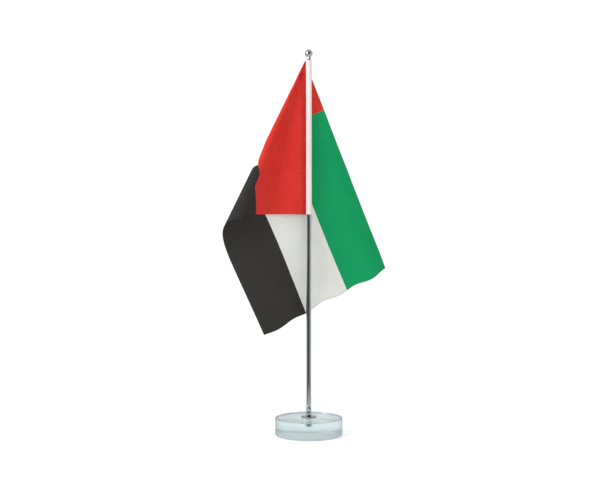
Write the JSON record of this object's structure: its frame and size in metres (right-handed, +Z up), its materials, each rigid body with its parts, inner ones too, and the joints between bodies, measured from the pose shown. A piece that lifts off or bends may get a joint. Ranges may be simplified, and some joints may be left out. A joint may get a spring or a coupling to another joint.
{
  "type": "desk flag stand",
  "caption": "Desk flag stand: clear disc base, screw-in chrome pole with a ball on top, and a cloth flag folded back behind the pole.",
  "frame": {"origin": "centre of the base's underside, on the pole's axis", "axes": "+Z up along the pole, +X to the right seen from the front, +Y to the back"},
  "size_m": [0.1712, 0.0993, 0.4],
  "materials": {
    "clear_acrylic": "clear, polished",
    "zinc_steel": "zinc plated",
    "chrome": "polished",
    "clear_silicone": "clear, soft",
    "white_cloth": "woven, semi-matte",
    "printed_cloth": "woven, semi-matte, printed in four plain colours",
    "sewing_thread": "twisted thread"
  },
  "bodies": {
    "base": {"base_disc": "clear_acrylic", "base_insert": "zinc_steel", "base_flange": "chrome"},
    "stud": {"pole_stud": "zinc_steel"},
    "pole": {"pole_ferrule": "chrome", "pole_tube": "chrome", "pole_top_plug": "zinc_steel"},
    "top_stud": {"finial_stud": "zinc_steel"},
    "ball": {"finial_ball": "chrome"},
    "grip": {"grip_ring": "clear_silicone"},
    "flag": {"hoist_sleeve": "white_cloth", "flag_cloth": "printed_cloth", "hoist_seam_thread": "sewing_thread"}
  },
  "joints": [
    {"name": "pole_rise", "type": "slide", "parent": "base", "child": "stud", "axis": [0, 0, 1], "range_m": [0, 0.004]},
    {"name": "pole_unscrew", "type": "hinge", "parent": "stud", "child": "pole", "pos_m": [0, 0, 0.018], "axis": [0, 0, 1], "range_deg": [0, 2881]},
    {"name": "finial_rise", "type": "slide", "parent": "pole", "child": "top_stud", "axis": [0, 0, 1], "range_m": [0, 0.0025]},
    {"name": "finial_unscrew", "type": "hinge", "parent": "top_stud", "child": "ball", "pos_m": [0, 0, 0.389], "axis": [0, 0, 1], "range_deg": [0, 1801]},
    {"name": "flag_slide", "type": "slide", "parent": "pole", "child": "grip", "axis": [0, 0, 1], "range_m": [-0.085, 0.003]},
    {"name": "flag_turn", "type": "hinge", "parent": "grip", "child": "flag", "pos_m": [0, 0, 0.3315], "axis": [0, 0, 1], "continuous": true}
  ],
  "couplings": [
    {"joint": "pole_unscrew", "follows": "pole_rise", "rad_per_m": 12566},
    {"joint": "finial_unscrew", "follows": "finial_rise", "rad_per_m": 12566}
  ]
}
